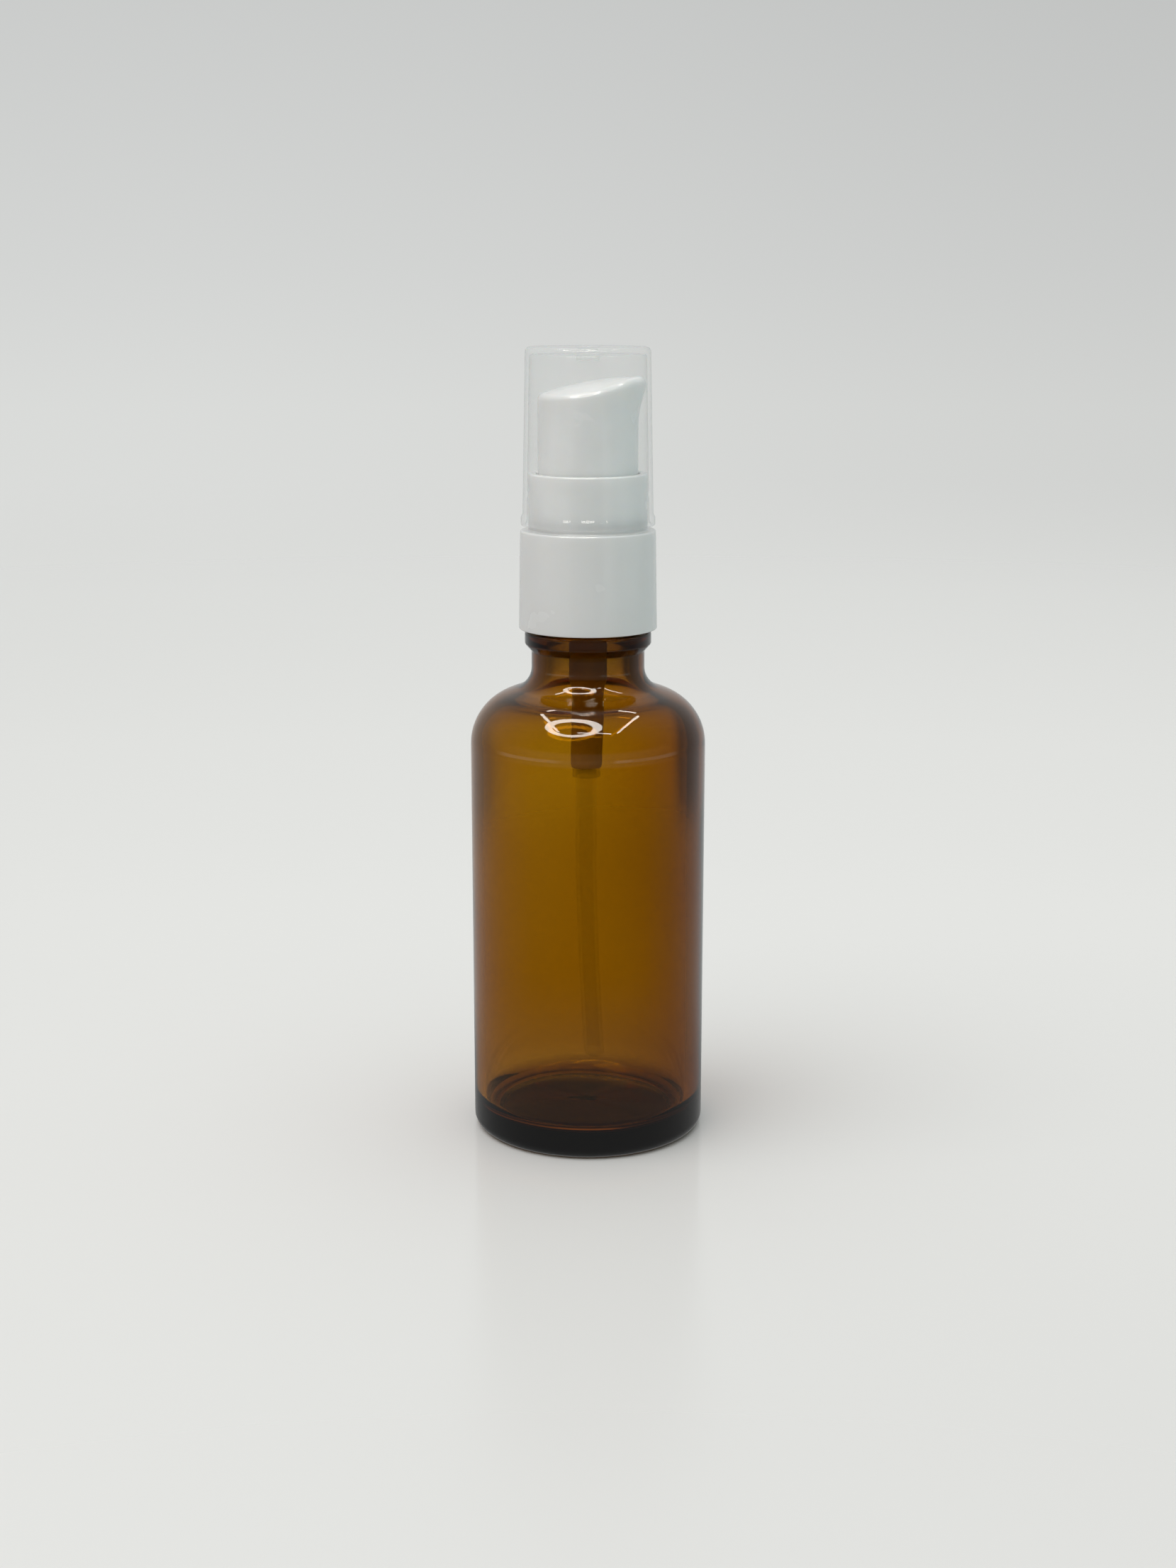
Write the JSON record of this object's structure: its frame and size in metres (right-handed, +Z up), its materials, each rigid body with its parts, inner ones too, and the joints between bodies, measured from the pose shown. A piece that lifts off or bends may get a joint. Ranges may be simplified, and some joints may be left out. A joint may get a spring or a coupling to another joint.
{
  "type": "pump bottle",
  "caption": "Amber glass bottle with a white screw-on dispensing pump, beaked finger actuator, dip tube and clear push-on overcap.",
  "frame": {"origin": "on the bottle's axis, in the plane of the ring that the bottle stands on", "axes": "+Z up along the bottle's axis, +X the way the actuator's beak points at rest"},
  "size_m": [0.0372, 0.0372, 0.1251],
  "materials": {
    "amber_glass": "polished amber glass",
    "white_plastic": "smooth white polypropylene",
    "clear_plastic": "clear polystyrene",
    "gasket_foam": "soft foamed polyethylene",
    "natural_plastic": "natural polypropylene",
    "seal_plastic": "low-density polyethylene",
    "tube_plastic": "translucent polyethylene tube",
    "spring_steel": "drawn stainless wire",
    "valve_glass": "ground glass ball"
  },
  "bodies": {
    "bottle": {"glass_bottle": "amber_glass"},
    "pump": {"pump_housing": "natural_plastic", "neck_gasket": "gasket_foam", "stem_guide": "white_plastic", "return_spring": "spring_steel", "dip_tube": "tube_plastic"},
    "closure": {"closure": "white_plastic"},
    "stem": {"stem": "white_plastic", "plunger": "natural_plastic"},
    "piston": {"piston": "seal_plastic"},
    "ball": {"inlet_ball": "valve_glass"},
    "head": {"actuator": "white_plastic"},
    "overcap": {"overcap": "clear_plastic"}
  },
  "joints": [
    {"name": "pump_rise", "type": "slide", "parent": "bottle", "child": "pump", "axis": [0, 0, 1], "range_m": [0, 0.0045]},
    {"name": "closure_turn", "type": "hinge", "parent": "pump", "child": "closure", "pos_m": [0, 0, 0.0895], "axis": [0, 0, 1], "range_deg": [0, 540]},
    {"name": "pump_press", "type": "slide", "parent": "pump", "child": "stem", "axis": [0, 0, -1], "range_m": [0, 0.005], "stiffness_N_per_m": 900, "springref_m": -0.005, "deforming": ["return_spring"]},
    {"name": "actuator_swivel", "type": "hinge", "parent": "stem", "child": "head", "pos_m": [0, 0, 0.108], "axis": [0, 0, 1], "continuous": true},
    {"name": "piston_shift", "type": "slide", "parent": "stem", "child": "piston", "axis": [0, 0, 1], "range_m": [0, 0.0008]},
    {"name": "ball_lift", "type": "slide", "parent": "pump", "child": "ball", "axis": [0, 0, 1], "range_m": [0, 0.0008]},
    {"name": "overcap_lift", "type": "slide", "parent": "closure", "child": "overcap", "axis": [0, 0, 1], "range_m": [0, 0.03]}
  ],
  "couplings": [
    {"joint": "pump_rise", "follows": "closure_turn", "m_per_rad": 0.00047746}
  ]
}
